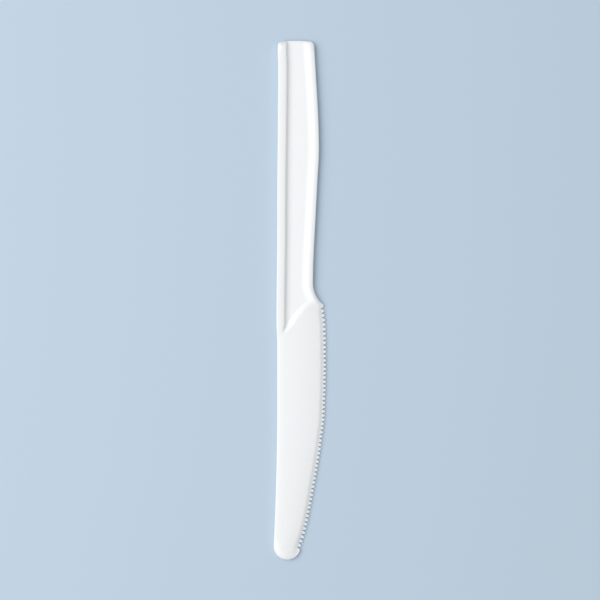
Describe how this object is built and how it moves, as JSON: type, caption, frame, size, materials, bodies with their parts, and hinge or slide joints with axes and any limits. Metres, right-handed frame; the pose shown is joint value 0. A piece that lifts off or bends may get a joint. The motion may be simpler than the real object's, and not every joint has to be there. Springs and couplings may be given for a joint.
{
  "type": "disposable plastic knife",
  "caption": "Flat moulded table knife with a rounded toothed blade, a curved heel and a handle with a shallow open-ended recess.",
  "frame": {"origin": "centre of the bounding box in plan, on the flat back", "axes": "+Y along the knife towards the handle's end, +X towards the cutting edge, +Z out of the recessed front face"},
  "size_m": [0.0172, 0.17, 0.003],
  "materials": {
    "white_plastic": "semi-gloss moulded white"
  },
  "bodies": {
    "root": {"knife": "white_plastic"}
  },
  "joints": []
}
